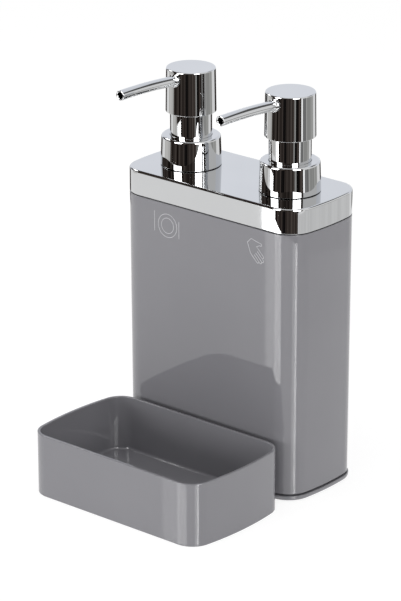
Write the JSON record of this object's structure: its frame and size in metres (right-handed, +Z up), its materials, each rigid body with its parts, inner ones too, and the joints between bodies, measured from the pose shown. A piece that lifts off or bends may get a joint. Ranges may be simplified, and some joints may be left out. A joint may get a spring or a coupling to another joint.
{
  "type": "soap pump caddy",
  "caption": "Tall grey tank with a chrome lid and twin lotion pumps beside a low open sponge tray, for dish soap and hand soap at a sink.",
  "frame": {"origin": "middle of the tank's standing face, on the surface that the caddy stands on", "axes": "+Z up, -Y the front, where the spouts and the tray are, +X to the right seen from the front"},
  "size_m": [0.1304, 0.141, 0.2306],
  "materials": {
    "grey_gloss": "high-gloss moulded ABS, mid grey",
    "chrome_plate": null,
    "natural_plastic": "natural polypropylene",
    "clear_tube": "translucent polyethylene",
    "seal_rubber": "black soft rubber",
    "spring_steel": "drawn stainless wire",
    "valve_ball": "polished stainless ball"
  },
  "bodies": {
    "tank": {"tank_shell": "grey_gloss", "lid_gasket": "seal_rubber", "lid_cover": "chrome_plate", "base_plate": "grey_gloss", "antislip_pad": "seal_rubber"},
    "tray": {"sponge_tray": "grey_gloss"},
    "left_pump": {"left_housing": "natural_plastic", "left_chaplet": "natural_plastic", "left_guide_sleeve": "chrome_plate", "left_neck_gasket": "seal_rubber", "left_dip_tube": "clear_tube", "left_spring": "spring_steel"},
    "left_collar": {"left_collar": "chrome_plate"},
    "left_plunger": {"left_piston": "natural_plastic"},
    "left_head": {"left_head_shell": "chrome_plate", "left_head_core": "natural_plastic", "left_spout": "chrome_plate", "left_stem": "natural_plastic"},
    "left_valve": {"left_inlet_ball": "valve_ball"},
    "right_pump": {"right_housing": "natural_plastic", "right_chaplet": "natural_plastic", "right_guide_sleeve": "chrome_plate", "right_neck_gasket": "seal_rubber", "right_dip_tube": "clear_tube", "right_spring": "spring_steel"},
    "right_collar": {"right_collar": "chrome_plate"},
    "right_plunger": {"right_piston": "natural_plastic"},
    "right_head": {"right_head_shell": "chrome_plate", "right_head_core": "natural_plastic", "right_spout": "chrome_plate", "right_stem": "natural_plastic"},
    "right_valve": {"right_inlet_ball": "valve_ball"}
  },
  "joints": [
    {"name": "tray_slide", "type": "slide", "parent": "tank", "child": "tray", "axis": [0, -1, 0], "range_m": [0, 0.06]},
    {"name": "left_pump_rise", "type": "slide", "parent": "tank", "child": "left_pump", "axis": [0, 0, 1], "range_m": [0, 0.00735]},
    {"name": "left_collar_turn", "type": "hinge", "parent": "left_pump", "child": "left_collar", "pos_m": [-0.0362, 0, 0.18], "axis": [0, 0, 1], "range_deg": [0, 645]},
    {"name": "left_press", "type": "slide", "parent": "left_pump", "child": "left_plunger", "axis": [0, 0, -1], "range_m": [0, 0.012], "stiffness_N_per_m": 400, "springref_m": -0.008, "deforming": ["left_spring"]},
    {"name": "left_head_swivel", "type": "hinge", "parent": "left_plunger", "child": "left_head", "pos_m": [-0.0362, 0, 0.2], "axis": [0, 0, 1], "range_deg": [-255, 75]},
    {"name": "left_valve_lift", "type": "slide", "parent": "left_pump", "child": "left_valve", "axis": [0, 0, 1], "range_m": [0, 0.002]},
    {"name": "right_pump_rise", "type": "slide", "parent": "tank", "child": "right_pump", "axis": [0, 0, 1], "range_m": [0, 0.00735]},
    {"name": "right_collar_turn", "type": "hinge", "parent": "right_pump", "child": "right_collar", "pos_m": [0.0362, 0, 0.18], "axis": [0, 0, 1], "range_deg": [0, 645]},
    {"name": "right_press", "type": "slide", "parent": "right_pump", "child": "right_plunger", "axis": [0, 0, -1], "range_m": [0, 0.012], "stiffness_N_per_m": 400, "springref_m": -0.008, "deforming": ["right_spring"]},
    {"name": "right_head_swivel", "type": "hinge", "parent": "right_plunger", "child": "right_head", "pos_m": [0.0362, 0, 0.2], "axis": [0, 0, 1], "range_deg": [-75, 255]},
    {"name": "right_valve_lift", "type": "slide", "parent": "right_pump", "child": "right_valve", "axis": [0, 0, 1], "range_m": [0, 0.002]}
  ],
  "couplings": [
    {"joint": "left_collar_turn", "follows": "left_pump_rise", "rad_per_m": 1496},
    {"joint": "right_collar_turn", "follows": "right_pump_rise", "rad_per_m": 1496}
  ]
}
